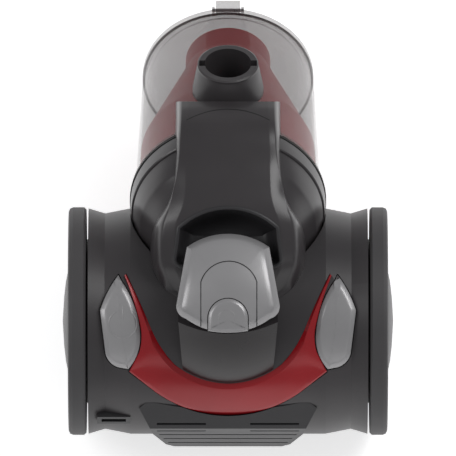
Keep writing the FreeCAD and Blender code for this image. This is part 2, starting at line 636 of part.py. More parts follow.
def make_wheels():
    x0 = DRUM_HALF + WHEEL_GAP
    x1 = x0 + WHEEL_WIDTH
    face = x1 - 1.0
    rim = WHEEL_R - TYRE_DEPTH
    bevel = 4.0
    hub_floor = x0 + 8.0
    for side, name in ((-1, "left"), (1, "right")):
        body = name + "_wheel"
        tyre = [(x0, rim), (x0, WHEEL_R - 2), (x0 + 2, WHEEL_R), (x1 - bevel, WHEEL_R),
                (x1 - 1.2, WHEEL_R - 1.2), (x1, WHEEL_R - bevel), (x1, rim)]
        disc = [(x0, AXLE_R + AXLE_FIT), (x0, rim), (face, rim), (face - 2.5, rim - 8), (face - 2.5, 62),
                (face, 56), (face, 14), (hub_floor, 14), (hub_floor, AXLE_R + AXLE_FIT)]
        cap = [(face, 0), (face, HUB_CAP_R), (face + 1.5, HUB_CAP_R), (face + 3.6, 36), (face + 5.2, 22),
               (face + 1 + HUB_CAP_RISE, 0)]
        for node, profile in (("_tyre", tyre), ("_wheel_disc", disc), ("_hub_cap", cap)):
            add(name + node, body, turned_x([(side * x, r) for x, r in profile]))
        lo, hi = sorted((side * (DRUM_HALF - AXLE_GRIP), side * (hub_floor + 4)))
        add(name + "_axle", "root", cyl_x(AXLE_R, lo, hi, 0, AXLE_Z))
    clips = []
    for side in (-1, 1):
        lo, hi = sorted((side * (hub_floor + RUN_GAP), side * (hub_floor + RUN_GAP + CLIP_T)))
        clips.append(ring_x(CLIP_R, AXLE_R, lo, hi, 0, AXLE_Z))
    add("axle_clips", "root", Part.makeCompound(clips))


def make_castor():
    y = CASTOR_Y - CASTOR_TRAIL
    half = CASTOR_WIDTH / 2
    arm = half + 1.0
    plate_z = 2 * CASTOR_R + 1.0
    plate = cyl_z(CASTOR_TRAIL + 9, 0, CASTOR_Y, plate_z, plate_z + FORK_T)
    stem = cyl_z(CASTOR_STEM_R, 0, CASTOR_Y, plate_z, SPLIT_Z - 2)
    fork = plate.fuse(stem)
    for x0, x1 in ((-arm - FORK_T, -arm), (arm, arm + FORK_T)):
        cheek = block(x0, x1, y - 5, y + 5, CASTOR_R, plate_z + 1).fuse(cyl_x(5, x0, x1, y, CASTOR_R))
        fork = fork.fuse(cheek)
    fork = fork.cut(cyl_x(2.0, -20, 20, y, CASTOR_R))
    add("castor_fork", "castor_fork", fork)
    add("castor_pin", "castor_fork", cyl_x(2.0, -arm - FORK_T, arm + FORK_T, y, CASTOR_R))
    roll = cyl_x(CASTOR_R, -half, half, y, CASTOR_R)
    add("castor_wheel", "castor_wheel", roll.cut(cyl_x(2.0 + AXLE_FIT, -20, 20, y, CASTOR_R)))


def make_motor():
    y, z = MOTOR_Y, MOTOR_Z
    inner = MOTOR_R - MOTOR_WALL
    can = ring_x(MOTOR_R, inner, -MOTOR_HALF, MOTOR_HALF - 6, y, z)
    can = can.fuse(ring_x(MOTOR_R, SHAFT_R + AXLE_FIT, -MOTOR_HALF, -MOTOR_HALF + 4, y, z))
    add("motor_can", "root", can)
    bell = ring_x(MOTOR_R, SHAFT_R + AXLE_FIT, MOTOR_HALF - 6, MOTOR_HALF, y, z)
    for turn in range(COOLING_HOLES):
        angle = 2 * math.pi * turn / COOLING_HOLES
        hole = cyl_x(6, MOTOR_HALF - 8, MOTOR_HALF + 2, y + 24 * math.cos(angle), z + 24 * math.sin(angle))
        bell = bell.cut(hole)
    add("motor_end_bell", "root", bell)
    add("motor_stator", "root", ring_x(inner, ARMATURE_R + 1.0, -MOTOR_HALF + 10, 2, y, z))
    mounts = [ring_x(MOTOR_R + MOUNT_T, MOTOR_R, x, x + 6, y, z)
              for x in (-MOTOR_HALF + 4, MOTOR_HALF - 16)]
    add("motor_mounts", "root", Part.makeCompound(mounts))
    add("rotor_shaft", "motor_rotor", cyl_x(SHAFT_R, -MOTOR_HALF - 2, MOTOR_HALF - 0.5, y, z))
    add("armature", "motor_rotor", ring_x(ARMATURE_R, SHAFT_R, -MOTOR_HALF + 12, 0, y, z))
    fan = ring_x(IMPELLER_R, SHAFT_R, 12, 14, y, z).fuse(ring_x(9, SHAFT_R, 12, 30, y, z))
    for turn in range(BLADES):
        blade = block(13.5, 28, y + 8, y + IMPELLER_R - 1, z - 0.8, z + 0.8)
        blade.rotate(Vector(0, y, z), X_AXIS, 360.0 * turn / BLADES)
        fan = fan.fuse(blade)
    add("impeller", "motor_rotor", fan)


def make_reel():
    x1 = -(DRUM_HALF - WALL - 3)
    x0 = x1 + REEL_WIDTH
    bore = AXLE_BOSS_R + AXLE_FIT
    reel = ring_x(REEL_R, bore, x1, x1 + 2, 0, AXLE_Z).fuse(ring_x(REEL_R, bore, x0 - 2, x0, 0, AXLE_Z))
    reel = reel.fuse(ring_x(27, 24, x1, x0, 0, AXLE_Z))
    add("cord_reel", "cord_reel", reel)
    add("rewind_spring", "cord_reel", ring_x(23.5, 12, x1 + 2.5, x0 - 2.5, 0, AXLE_Z))


def make_electrics():
    xs = (-STEM_X - SWITCH_HALF, -STEM_X + SWITCH_HALF)
    switch = deck_box(xs, (-7.0, 7.0), (SWITCH_TOP - SWITCH_T, SWITCH_TOP))
    add("power_switch", "root", switch)
    board = block(BOARD_X - BOARD_T, BOARD_X, -38, 12, SPLIT_Z + 2, AXLE_Z - 12)
    add("circuit_board", "root", board)


def make_bin():
    mouth = [(BIN_R - BIN_WALL, 0), (FLANGE_R, 0), (FLANGE_R, FLANGE_T), (bin_radius(FLANGE_T), FLANGE_T),
             (BIN_LID_R, BIN_LENGTH), (BIN_LID_R - BIN_WALL, BIN_LENGTH)]
    cup = in_bin(turned_z(mouth))
    axis_w = BIN_LENGTH - HINGE_DROP
    axis_rise = BIN_LID_R + HINGE_RISE
    for side in (-1, 1):
        lo, hi = sorted((side * (KNUCKLE_HALF + EAR_GAP), side * (KNUCKLE_HALF + EAR_GAP + EAR_T)))
        ear = [(axis_w - 16, -(BIN_LID_R - 3)), (axis_w + 1.5, -(BIN_LID_R - 3)),
               (axis_w + 3, -axis_rise), (axis_w + 1, -axis_rise - 3.5), (axis_w - 3, -axis_rise - 3.5)]
        face = polygon([Vector(lo, d, w) for w, d in ear])
        ear_solid = in_bin(face.extrude(Vector(hi - lo, 0, 0)))
        cup = cup.fuse(ear_solid.cut(in_bin(Part.makeCylinder(BIN_LID_R - 1.5, BIG, Vector(0, 0, 0)))))
    catch = Part.makeBox(12, 4, 2.5, Vector(-6, BIN_LID_R - 2, BIN_LENGTH + LID_T - 13))
    cup = cup.fuse(in_bin(catch.cut(Part.makeCylinder(BIN_LID_R - 1.5, BIG))))
    room = in_bin(turned_z([(0, 0), (BIN_R - BIN_WALL, 0), (BIN_LID_R - BIN_WALL, BIN_LENGTH),
                            (0, BIN_LENGTH)]))
    cup = cup.fuse(port_neck(BIN_R / 2, BIN_R + NECK_RISE).cut(room))
    cup = cup.cut(hinge_pin(0.0)).cut(port_column(NECK_R, BIN_R / 2, BIN_R + PORT_RISE))
    add("bin_body", "dust_unit", cup)
    add("lid_hinge_pin", "dust_unit", hinge_pin(0.0))
    ring = [(BIN_R - BIN_WALL - 2, -GASKET_T), (FLANGE_R + 0.6, -GASKET_T), (FLANGE_R + 0.6, 0),
            (BIN_R - BIN_WALL - 2, 0)]
    add("bin_gasket", "dust_unit", in_bin(turned_z(ring)))


def hinge_pin(grow):
    reach = KNUCKLE_HALF + EAR_GAP + EAR_T
    start = Vector(-reach, -(BIN_LID_R + HINGE_RISE), BIN_LENGTH - HINGE_DROP)
    return in_bin(Part.makeCylinder(PIN_R + grow, 2 * reach, start, X_AXIS))


def port_column(radius, low, high):
    """Cylinder on the port's axis, between two heights over the bin's axis."""
    return in_bin(Part.makeCylinder(radius, high - low, Vector(0, -low, PORT_W), Vector(0, -1, 0)))


def port_neck(low, high):
    return port_column(NECK_R + NECK_T, low, high).cut(port_column(NECK_R, low - 1, high + 1))


def make_cyclone():
    wall = CYCLONE_WALL

    def hollow(inset):
        wide = bin_radius(SKIRT_W) - BIN_WALL - CYCLONE_GAP - inset
        mouth = bin_radius(0) - BIN_WALL - CYCLONE_GAP - inset
        narrow = CYCLONE_R - inset
        skirt = Part.makeCone(mouth, wide, SKIRT_W - inset, Vector(0, 0, inset))
        one = Part.Wire(Part.makeCircle(wide, Vector(0, 0, SKIRT_W)))
        two = Part.Wire(Part.makeCircle(narrow, Vector(0, -CYCLONE_RISE, CONE_W)))
        cone = Part.makeLoft([one, two], True, True)
        end = Part.makeCylinder(narrow, CYCLONE_W - inset - CONE_W, Vector(0, -CYCLONE_RISE, CONE_W))
        return skirt.fuse([cone, end])

    body = in_bin(hollow(0).cut(hollow(wall)))
    plate_hole = Part.makeCylinder(VORTEX_R - VORTEX_T - 1, 20, Vector(0, 0, -5))
    neck = port_neck(PORT_MOUTH - NECK_DROP, PORT_MOUTH).common(in_bin(hollow(0)))
    body = body.fuse(neck).cut(port_column(NECK_R, BIN_R / 2, PORT_MOUTH)).cut(in_bin(plate_hole))
    gap = Part.makeBox(50, 30, 34, Vector(-25, CYCLONE_R - CYCLONE_RISE - 16, CONE_W - 16))
    body = body.cut(in_bin(gap))
    add("cyclone_body", "dust_unit", body)
    tube = [(VORTEX_R - VORTEX_T, wall), (VORTEX_R, wall), (VORTEX_TIP_R, VORTEX_LENGTH),
            (VORTEX_TIP_R - VORTEX_T, VORTEX_LENGTH)]
    add("vortex_tube", "dust_unit", in_bin(turned_z(tube)))


def make_head():
    keep = spine_block()
    shell = dome(0).cut(dome(-HEAD_WALL)).cut(keep).cut(fairing_prism())
    rebate = in_bin(Part.makeCylinder(FRAME_R, REBATE_DEPTH, Vector(0, 0, -GASKET_T - REBATE_DEPTH)))
    shell = shell.cut(inlet_tube(DUCT_R - DUCT_SEAL_T)).cut(rebate)
    add("head_cover", "dust_unit", biggest(shell))
    floor = -GASKET_T - 11.0
    frame = turned_z([(FILTER_R, floor), (FRAME_R - 6.5, floor), (FRAME_R - 6.5, -GASKET_T - 3),
                      (FRAME_R, -GASKET_T - 3), (FRAME_R, -GASKET_T), (FRAME_R - 10, -GASKET_T),
                      (FRAME_R - 10, floor + 3), (FILTER_R, floor + 3)])
    add("filter_frame", "dust_unit", in_bin(frame))
    add("pre_filter", "dust_unit", in_bin(Part.makeCylinder(FILTER_R, FILTER_T, Vector(0, 0, FILTER_W))))


def biggest(shape):
    solids = sorted(shape.Solids, key=lambda s: s.Volume)
    return solids[-1]


def fairing_prism():
    return deck_prism(outline(*FAIRING_OUTLINE), 30, FAIRING_TOP)


def drum_clear():
    return cyl_x(DRUM_R + 0.6, -BIG, BIG, 0, AXLE_Z)


def make_handle():
    whole = spine_block()
    front_y = SPINE_TOP[0][0] + 4.0
    grown_bin = barrel(COVER_GAP, BIN_LENGTH)
    ahead = block(-BIG, BIG, front_y, BIG, 0, BIG)
    behind = block(-BIG, BIG, -BIG, front_y, 0, BIG)

    cover = whole.common(ahead)
    top = [(y, z - WALL) for y, z in SPINE_TOP]
    inner = [(front_y + WALL, top[0][1])] + top[1:-1] + [(top[-1][0] - WALL - 2, top[-1][1]),
                                                          (top[-1][0] - WALL - 8, 190),
                                                          (front_y + WALL, 150)]
    cover = cover.cut(side_prism(inner, SPINE_HALF - WALL)).cut(grown_bin)
    cover = cover.cut(side_prism([(0, 0), (BIG, 0), (BIG, 200), (0, 200)], BIG))
    port_room = in_bin(Part.makeCylinder(PORT_SKIRT_R + 0.4, 80, Vector(0, -60, PORT_W), Vector(0, -1, 0)))
    frame_room = in_bin(Part.makeCylinder(FRAME_R + 0.2, 14, Vector(0, 0, -GASKET_T - 14)))
    filter_room = in_bin(Part.makeCylinder(FILTER_R + RUN_GAP, FILTER_T + 1, Vector(0, 0, FILTER_W - 1)))
    cover = cover.cut(port_room).cut(dome_floor(front_y)).cut(frame_room).cut(filter_room)
    add("duct_cover", "dust_unit", biggest(cover))

    body = whole.common(behind)
    pocket_back = GRIP_REAR[0] + LEG_THICK
    rim_y = SPINE_TOP[0][0]
    under = block(-POCKET_HALF, POCKET_HALF, pocket_back, rim_y, POCKET_FLOOR,
                  GRIP_REAR[1] - GRIP_T - GRIP_CORE + 4)
    mouth = block(-POCKET_HALF - 2, POCKET_HALF + 2, GRIP_FRONT[0], rim_y, POCKET_FLOOR + 10, BIG)
    mouth = mouth.fuse(block(-POCKET_HALF, POCKET_HALF, GRIP_FRONT[0], rim_y, POCKET_FLOOR, BIG))
    cavity = block(-SPINE_HALF + WALL, SPINE_HALF - WALL, GRIP_REAR[0] + 4 + WALL, rim_y + 1,
                   0, POCKET_FLOOR - WALL)
    rear_room = block(-16, 16, GRIP_REAR[0] + 5, pocket_back - WALL, 0, BUTTON_FLOOR - WALL - 1)
    body = body.cut(under).cut(mouth).cut(cavity).cut(rear_room).cut(drum_clear()).cut(grown_bin)
    body = body.cut(button_tool(0.4)).cut(rod_tool(0.4)).cut(seat_floor()).cut(spring_space(0.4))
    add("handle_body", "dust_unit", biggest(body))

    fairing = fairing_prism().cut(drum_clear()).cut(side_prism([(-BIG, 0), (BIG, 0), (BIG, BIG), (-BIG, BIG)],
                                                               SPINE_HALF))
    fairing = fairing.cut(dome(0))
    left = biggest(fairing.common(block(-BIG, 0, -BIG, BIG, 0, BIG)))
    add("left_fairing", "dust_unit", left)
    add("right_fairing", "dust_unit", left.mirror(ORIGIN, X_AXIS))

    crown = [GRIP_REAR, GRIP_CROWN, GRIP_FRONT]
    slab = [(GRIP_REAR[0] - 4, GRIP_REAR[1] - 1)] + crown + [(GRIP_FRONT[0] + 6, GRIP_FRONT[1] - 0.5)]
    slab += [(y, z - GRIP_T) for y, z in reversed(slab)]
    grip = side_prism(slab, BIG).common(deck_prism(outline(*GRIP_OUTLINE), 0, 300))
    add("grip_cover", "dust_unit", grip.cut(button_tool(0.4)))


def dome_floor(front_y):
    """Everything under the head's dome line, inside the dome."""
    return dome(0).common(block(-BIG, BIG, front_y, BIG, 0, 236))


def seat_floor():
    """The part of the handle's block that would reach below the head."""
    return block(-BIG, BIG, -10, BIG, 0, 190)


def button_tool(grow):
    """Release button, a rounded arch at the back of the grip, grown by a gap."""
    y0 = GRIP_REAR[0] + 0.5
    half = BUTTON_HALF + grow
    middle = y0 + BUTTON_LENGTH - BUTTON_HALF
    top = GRIP_REAR[1] + 7.0 + (20 if grow else 0)
    low = BUTTON_FLOOR + (0 if grow else BUTTON_TRAVEL + 1.0)
    back = y0 - (10.0 if grow else 0.0)
    flat = block(-half, half, back, middle, low, top)
    arch = cyl_z(half, 0, middle, low, top)
    return flat.fuse(arch)


def rod_tool(grow):
    y0 = GRIP_REAR[0] + 9.0
    low = AXLE_Z + math.sqrt(DRUM_R ** 2 - y0 ** 2) - ROD_REACH - grow - (BUTTON_TRAVEL if grow else 0)
    return block(-ROD_HALF - grow, ROD_HALF + grow, y0 - grow, y0 + 5 + grow, low, GRIP_REAR[1] - GRIP_T - 7)


def spring_space(grow):
    """The button's return spring, in a well in the floor under the button."""
    top = BUTTON_FLOOR + BUTTON_TRAVEL + 1.0 - RUN_GAP
    return cyl_z(4 + grow, 0, GRIP_REAR[0] + 20.0, BUTTON_FLOOR - WALL, top)


def make_button():
    cap_top = side_prism([(-80, 200), (0, 200), (0, GRIP_CROWN[1]), (GRIP_CROWN[0], GRIP_CROWN[1]),
                          (GRIP_REAR[0], GRIP_REAR[1] + 0.5), (-80, GRIP_REAR[1] - 4)], BIG)
    add("release_button", "release_button", button_tool(0).common(cap_top))
    add("release_rod", "release_button", rod_tool(0))
    add("button_spring", "dust_unit", spring_space(0.0).cut(spring_space(-1.2)))


def make_port():
    base = PORT_MOUTH - PORT_DEPTH
    skirt = BIN_R - 18.0
    profile = [(PORT_R, base), (PORT_R + PORT_WALL, base), (PORT_R + PORT_WALL, skirt),
               (PORT_SKIRT_R, skirt), (PORT_SKIRT_R, skirt + 14), (PORT_RIM_R + 1.2, PORT_MOUTH - 9),
               (PORT_RIM_R, PORT_MOUTH - 3), (PORT_RIM_R, PORT_MOUTH - 1), (PORT_RIM_R - 1.5, PORT_MOUTH),
               (PORT_R, PORT_MOUTH)]
    tube = turned_z(profile)
    notch = Part.makeBox(2 * NOTCH_R, 2 * NOTCH_HALF, NOTCH_DEPTH + 1,
                         Vector(-NOTCH_R, -NOTCH_HALF, PORT_MOUTH - NOTCH_DEPTH))
    tube = tube.cut(notch)
    up = Placement(Vector(0, 0, PORT_W), Rotation(X_AXIS, 90))
    tube = in_bin(placed(tube, up))
    outside = in_bin(turned_z([(PORT_R + PORT_WALL + 0.1, -60), (BIN_R, 0), (BIN_LID_R, BIN_LENGTH),
                               (0, BIN_LENGTH), (0, -60)]))
    sleeve = in_bin(placed(Part.makeCylinder(PORT_R + PORT_WALL, 60, Vector(0, 0, 40)), up))
    groove = port_column(NECK_R + NECK_T + PORT_FIT, 0, BIN_R + NECK_RISE + PORT_FIT)
    groove = groove.cut(port_column(PORT_R + PORT_WALL, -1, PORT_MOUTH))
    add("hose_port", "dust_unit", tube.cut(outside.cut(sleeve)).cut(groove))


def make_lid():
    w0 = BIN_LENGTH + LID_GAP + LID_SEAL_T
    w1 = BIN_LENGTH + LID_T
    profile = [(0, w1 - 4.0), (LID_RIM_R, w1 - 4.5), (LID_RIM_R, w0), (BIN_LID_R, w0),
               (BIN_LID_R, w1 - 1.5), (BIN_LID_R - 1.5, w1), (LID_RIM_R, w1), (LID_RIM_R - 2, w1 - 2.0),
               (0, w1 - 1.5)]
    lid = in_bin(turned_z(profile))
    axis_w = BIN_LENGTH - HINGE_DROP
    axis_rise = BIN_LID_R + HINGE_RISE
    start = Vector(-KNUCKLE_HALF, -axis_rise, axis_w)
    knuckle = Part.makeCylinder(KNUCKLE_R, 2 * KNUCKLE_HALF, start, X_AXIS)
    web = Part.makeBox(2 * KNUCKLE_HALF, KNUCKLE_R + axis_rise - BIN_LID_R + 3, w1 - 1 - w0,
                       Vector(-KNUCKLE_HALF, -axis_rise - KNUCKLE_R, w0))
    bridge = Part.makeBox(2 * KNUCKLE_HALF, KNUCKLE_R, w1 - 1 - axis_w,
                          Vector(-KNUCKLE_HALF, -axis_rise - KNUCKLE_R, axis_w))
    web = web.cut(Part.makeCylinder(LID_RIM_R + 1, BIG, ORIGIN))
    lid = lid.fuse(in_bin(knuckle)).fuse(in_bin(web.fuse(bridge)))
    bore = in_bin(Part.makeCylinder(PIN_R + AXLE_FIT, 80, Vector(-40, -axis_rise, axis_w), X_AXIS))
    post = Part.makeBox(2 * LATCH_HALF - 6, 9, 4, Vector(-LATCH_HALF + 3, BIN_LID_R - 2, w1 - 5))
    lid = lid.fuse(in_bin(post)).cut(bore)
    pivot = Vector(-LATCH_HALF - 2, BIN_LID_R + 4.5, w1 - 3)
    lid = lid.cut(in_bin(Part.makeCylinder(PIN_R, 80, Vector(-40, pivot.y, pivot.z), X_AXIS)))
    add("bin_lid", "bin_lid", lid)
    seal = turned_z([(BIN_LID_R - BIN_WALL, w0 - LID_SEAL_T), (BIN_LID_R - 0.5, w0 - LID_SEAL_T),
                     (BIN_LID_R - 0.5, w0), (BIN_LID_R - BIN_WALL, w0)])
    add("lid_seal", "bin_lid", in_bin(seal))
    pin_start = Vector(-LATCH_HALF, pivot.y, pivot.z)
    add("latch_pin", "bin_lid", in_bin(Part.makeCylinder(PIN_R, 2 * LATCH_HALF, pin_start, X_AXIS)))
    lever = Part.makeBox(2 * LATCH_HALF, 2.5, 24, Vector(-LATCH_HALF, BIN_LID_R + 9.2, w1 - 24))
    for x in (-LATCH_HALF, LATCH_HALF - 2.5):
        lever = lever.fuse(Part.makeBox(2.5, 9, 8, Vector(x, BIN_LID_R + 1.5, w1 - 7)))
    nose_w = w1 - 16
    lever = lever.fuse(Part.makeBox(8, 8.9, 2.5, Vector(-4, BIN_LID_R + 2.2, nose_w)))
    lever = lever.cut(Part.makeCylinder(PIN_R + AXLE_FIT, 80, Vector(-40, pivot.y, pivot.z), X_AXIS))
    add("lid_latch", "lid_latch", in_bin(lever))


def build():
    make_pedals()
    make_housing()
    make_screw_bosses()
    make_inlet_seal()
    make_deck()
    make_grille()
    make_cord_bezel()
    make_wheels()
    make_castor()
    make_motor()
    make_reel()
    make_brake()
    make_electrics()
    make_bin()
    make_cyclone()
    make_head()
    make_handle()
    make_button()
    make_port()
    make_lid()


def export():
    os.makedirs("parts", exist_ok=True)
    box = Part.makeCompound([shape for _, shape in PARTS.values()]).optimalBoundingBox(False)
    shift = Vector(0, -(box.YMin + box.YMax) / 2, 0)
    for name, (body, shape) in PARTS.items():
        shape.translate(shift)
        shape.exportStep("parts/" + name + ".step")
    print("shift", tuple(shift))
    print("box", box.XMin, box.XMax, box.YMin, box.YMax, box.ZMin, box.ZMax)
    for name, (body, shape) in PARTS.items():
        b = shape.BoundBox
        print(name, body, len(shape.Solids), shape.isValid(), round(shape.Volume / 1000, 1),
              [round(v, 1) for v in (b.XMin, b.XMax, b.YMin, b.YMax, b.ZMin, b.ZMax)])


build()
export()
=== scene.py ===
import json
import math
import bmesh
import bpy
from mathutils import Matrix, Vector


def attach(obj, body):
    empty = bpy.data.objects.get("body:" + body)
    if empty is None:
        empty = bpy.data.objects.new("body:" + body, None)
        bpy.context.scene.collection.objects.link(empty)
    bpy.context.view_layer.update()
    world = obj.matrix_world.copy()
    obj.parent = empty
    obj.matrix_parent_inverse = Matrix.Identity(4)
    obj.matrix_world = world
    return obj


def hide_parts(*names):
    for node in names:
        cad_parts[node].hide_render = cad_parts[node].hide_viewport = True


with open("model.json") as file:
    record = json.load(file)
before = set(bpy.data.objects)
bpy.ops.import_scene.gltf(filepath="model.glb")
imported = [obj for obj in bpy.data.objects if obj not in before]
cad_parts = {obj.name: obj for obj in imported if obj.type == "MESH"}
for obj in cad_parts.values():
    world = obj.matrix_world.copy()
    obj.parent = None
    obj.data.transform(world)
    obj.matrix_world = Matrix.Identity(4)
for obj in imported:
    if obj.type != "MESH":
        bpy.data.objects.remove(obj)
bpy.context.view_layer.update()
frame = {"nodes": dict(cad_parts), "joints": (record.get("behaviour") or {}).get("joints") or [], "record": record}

# ---- frames taken from the model ----------------------------------------------------------------
# Lengths in the helpers below are millimetres. The deck's frame sits at the wheel axle: x to the
# right, u forward along the deck and h square to it. The bin's frame sits in its mouth: x to the
# right, w along the bin and rise across it.
MM = 0.001
PORT_W = 62.0              # the hose port's axis, forward of the bin's mouth
SOCKET_RISE = 95.0         # the hose socket's place, over the bin's axis
DRUM_R = 102.0             # the drum's outside, from the axle
RIGHT = Vector((1, 0, 0))
JOINTS = {joint["name"]: joint for joint in frame["joints"]}
SOCKET = frame["record"]["mounts"][0]
AXLE = Vector(JOINTS["left_wheel_spin"]["pos_m"])
DECK_H = -Vector(JOINTS["power_pedal_press"]["axis"])
DECK_U = Vector((0, DECK_H.z, -DECK_H.y))
BIN_RISE = Vector(JOINTS["dust_unit_lift"]["axis"])
BIN_W = Vector((0, BIN_RISE.z, -BIN_RISE.y))
BIN_MOUTH = Vector(SOCKET["pos_m"]) - PORT_W * MM * BIN_W - SOCKET_RISE * MM * BIN_RISE


def deck(x, u, h):
    return AXLE + MM * (x * RIGHT + u * DECK_U + h * DECK_H)


def in_bin(x, rise, w):
    return BIN_MOUTH + MM * (x * RIGHT + rise * BIN_RISE + w * BIN_W)


# ---- materials ----------------------------------------------------------------------------------
def new_material(name):
    material = bpy.data.materials.new(name)
    material.use_nodes = True
    nodes = material.node_tree.nodes
    return material, nodes, material.node_tree.links, nodes["Principled BSDF"]


def set_inputs(shader, **values):
    for key, value in values.items():
        shader.inputs[key.replace("_", " ")].default_value = value


def mottle(nodes, links, shader, low, high, scale):
    """Slow colour variation between two colours."""
    place = nodes.new("ShaderNodeTexCoord")
    noise = nodes.new("ShaderNodeTexNoise")
    set_inputs(noise, Scale=scale, Detail=3.0)
    ramp = nodes.new("ShaderNodeValToRGB")
    for stop, position, colour in zip(ramp.color_ramp.elements, (0.35, 0.65), (low, high)):
        stop.position = position
        stop.color = (*colour, 1)
    links.new(place.outputs["Object"], noise.inputs["Vector"])
    links.new(noise.outputs["Fac"], ramp.inputs["Fac"])
    links.new(ramp.outputs["Color"], shader.inputs["Base Color"])
    return place


def grain(nodes, links, shader, place, scale, strength):
    """Fine moulded grain as a bump."""
    noise = nodes.new("ShaderNodeTexNoise")
    set_inputs(noise, Scale=scale, Detail=2.0)
    bump = nodes.new("ShaderNodeBump")
    set_inputs(bump, Strength=strength, Distance=0.0002)
    links.new(place.outputs["Object"], noise.inputs["Vector"])
    links.new(noise.outputs["Fac"], bump.inputs["Height"])
    links.new(bump.outputs["Normal"], shader.inputs["Normal"])


def gloss_variation(nodes, links, shader, place, low, high, scale):
    """Roughness that drifts a little, as handling leaves it."""
    noise = nodes.new("ShaderNodeTexNoise")
    set_inputs(noise, Scale=scale, Detail=4.0)
    drift = nodes.new("ShaderNodeMapRange")
    set_inputs(drift, To_Min=low, To_Max=high)
    links.new(place.outputs["Object"], noise.inputs["Vector"])
    links.new(noise.outputs["Fac"], drift.inputs["Value"])
    links.new(drift.outputs["Result"], shader.inputs["Roughness"])


def plastic(name, low, high, rough, grained, grain_scale=2600.0, coat=0.0, metallic=0.0, shine=0.5):
    """Moulding with colours from low to high; grained is the strength of its grain, 0 for none."""
    material, nodes, links, shader = new_material(name)
    place = mottle(nodes, links, shader, low, high, 14.0)
    gloss_variation(nodes, links, shader, place, rough * 0.9, rough * 1.12, 30.0)
    if grained:
        grain(nodes, links, shader, place, grain_scale, grained)
    set_inputs(shader, Coat_Weight=coat, Coat_Roughness=0.12, Metallic=metallic, Specular_IOR_Level=shine)
    return material


def clear_plastic(name, tint, alpha):
    material, nodes, links, shader = new_material(name)
    place = mottle(nodes, links, shader, [0.94 * c for c in tint], tint, 9.0)
    gloss_variation(nodes, links, shader, place, 0.05, 0.09, 22.0)
    set_inputs(shader, Alpha=alpha, Coat_Weight=0.15, Coat_Roughness=0.03, IOR=1.49)
    return material


def metal(name, low, high, rough, scale):
    material, nodes, links, shader = new_material(name)
    place = mottle(nodes, links, shader, low, high, scale)
    gloss_variation(nodes, links, shader, place, rough * 0.8, rough * 1.2, 60.0)
    grain(nodes, links, shader, place, 900.0, 0.08)
    set_inputs(shader, Metallic=1.0)
    return material


def foam(name, low, high, cell):
    material, nodes, links, shader = new_material(name)
    place = mottle(nodes, links, shader, low, high, 60.0)
    pores = nodes.new("ShaderNodeTexVoronoi")
    set_inputs(pores, Scale=cell)
    bump = nodes.new("ShaderNodeBump")
    set_inputs(bump, Strength=0.7, Distance=0.0006)
    links.new(place.outputs["Object"], pores.inputs["Vector"])
    links.new(pores.outputs["Distance"], bump.inputs["Height"])
    links.new(bump.outputs["Normal"], shader.inputs["Normal"])
    set_inputs(shader, Roughness=0.95)
    return material


FINISH = {
    "housing": plastic("charcoal_satin", (0.034, 0.031, 0.033), (0.041, 0.037, 0.039),
                       rough=0.42, grained=0.10, shine=0.4),
    "gloss_dark": plastic("charcoal_gloss", (0.030, 0.027, 0.029), (0.037, 0.033, 0.035),
                          rough=0.30, grained=0.03, coat=0.08, shine=0.42),
    "wheel": plastic("wheel_satin", (0.050, 0.047, 0.050), (0.058, 0.055, 0.058),
                     rough=0.42, grained=0.12),
    "tyre": plastic("tyre_rubber", (0.045, 0.043, 0.045), (0.055, 0.052, 0.054),
                    rough=0.62, grained=0.30, grain_scale=1500.0),
    "red": plastic("red_gloss", (0.27, 0.006, 0.010), (0.32, 0.009, 0.014),
                   rough=0.24, grained=0.02, coat=0.12, metallic=0.1, shine=0.4),
    "silver": plastic("silver_satin", (0.29, 0.285, 0.29), (0.32, 0.315, 0.32),
                      rough=0.33, grained=0.06, grain_scale=3200.0, coat=0.15, metallic=0.35),
    "clear": clear_plastic("clear_smoke", (0.085, 0.060, 0.060), alpha=0.35),
    "grille": plastic("near_black_satin", (0.022, 0.021, 0.023), (0.028, 0.027, 0.029),
                      rough=0.40, grained=0.14, grain_scale=2400.0, shine=0.4),
    "black": plastic("soft_seal", (0.004, 0.004, 0.004), (0.007, 0.007, 0.007),
                     rough=0.7, grained=0.25, grain_scale=1600.0),
    "foam": foam("filter_foam", (0.06, 0.06, 0.065), (0.09, 0.09, 0.095), cell=900.0),
    "filter": foam("filter_paper", (0.62, 0.61, 0.57), (0.70, 0.69, 0.65), cell=1400.0),
    "steel": metal("turned_steel", (0.45, 0.45, 0.46), (0.56, 0.56, 0.57), rough=0.3, scale=120.0),
    "copper": metal("copper_winding", (0.50, 0.22, 0.12), (0.62, 0.30, 0.17), rough=0.35, scale=200.0),
    "board": plastic("board_green", (0.02, 0.13, 0.04), (0.03, 0.17, 0.06),
                     rough=0.35, grained=0.1, grain_scale=2000.0),
    "plain": plastic("plain_moulding", (0.42, 0.42, 0.41), (0.48, 0.48, 0.47),
                     rough=0.45, grained=0.1, grain_scale=2200.0),
}

LEG_BLACK = plastic("handle_black", (0.007, 0.005, 0.006), (0.010, 0.007, 0.008),
                    rough=0.28, grained=0.03, shine=0.3)
# Brighter copy of the red for the cyclone: painted light that makes up for the shade inside the smoked bin.
CYCLONE_RED_LIT_FOR_BIN_SHADE = plastic("red_with_painted_light", (0.52, 0.012, 0.018), (0.60, 0.016, 0.024), rough=0.34, grained=0.0)

NODE_SLOT = {row["node"]: row["material_slot"] for row in frame["record"]["subparts"]}
for name, node in frame["nodes"].items():
    node.data.materials.clear()
    node.data.materials.append(CYCLONE_RED_LIT_FOR_BIN_SHADE if name == "cyclone_body" else FINISH[NODE_SLOT[name]])


